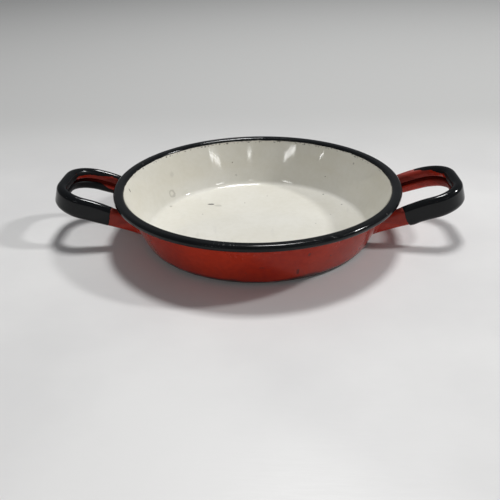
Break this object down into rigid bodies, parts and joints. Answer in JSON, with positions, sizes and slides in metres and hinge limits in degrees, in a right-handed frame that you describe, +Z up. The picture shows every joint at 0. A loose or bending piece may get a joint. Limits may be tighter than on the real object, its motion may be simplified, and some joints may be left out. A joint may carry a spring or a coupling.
{
  "type": "enamelled two-handled pan",
  "caption": "Shallow round pan of pressed steel with sloping wall, rolled rim and a loop handle at each side, enamelled white inside, red outside and black on rim and grips.",
  "frame": {"origin": "centre of the flat base, on the surface the pan stands on", "axes": "+Z up, +X from the pan's axis towards the right handle, -Y towards the cook"},
  "size_m": [0.2316, 0.1626, 0.0325],
  "materials": {
    "pressed_steel": "bare pressed steel, hidden under the enamel",
    "handle_steel": "bare curled steel strip, seen only inside the handle's seam",
    "weld_steel": "spot welds, hidden under the feet",
    "white_enamel": "glossy cream-white vitreous enamel",
    "red_enamel": "glossy orange-red vitreous enamel",
    "black_enamel": "glossy black vitreous enamel"
  },
  "bodies": {
    "root": {"pan_shell": "pressed_steel", "base_red_enamel": "red_enamel", "wall_red_enamel": "red_enamel", "interior_white_enamel": "white_enamel", "rim_black_enamel": "black_enamel", "right_handle": "handle_steel", "right_handle_black_enamel": "black_enamel", "right_handle_red_enamel": "red_enamel", "right_handle_near_welds": "weld_steel", "right_handle_far_welds": "weld_steel", "left_handle": "handle_steel", "left_handle_black_enamel": "black_enamel", "left_handle_red_enamel": "red_enamel", "left_handle_near_welds": "weld_steel", "left_handle_far_welds": "weld_steel"}
  },
  "joints": []
}
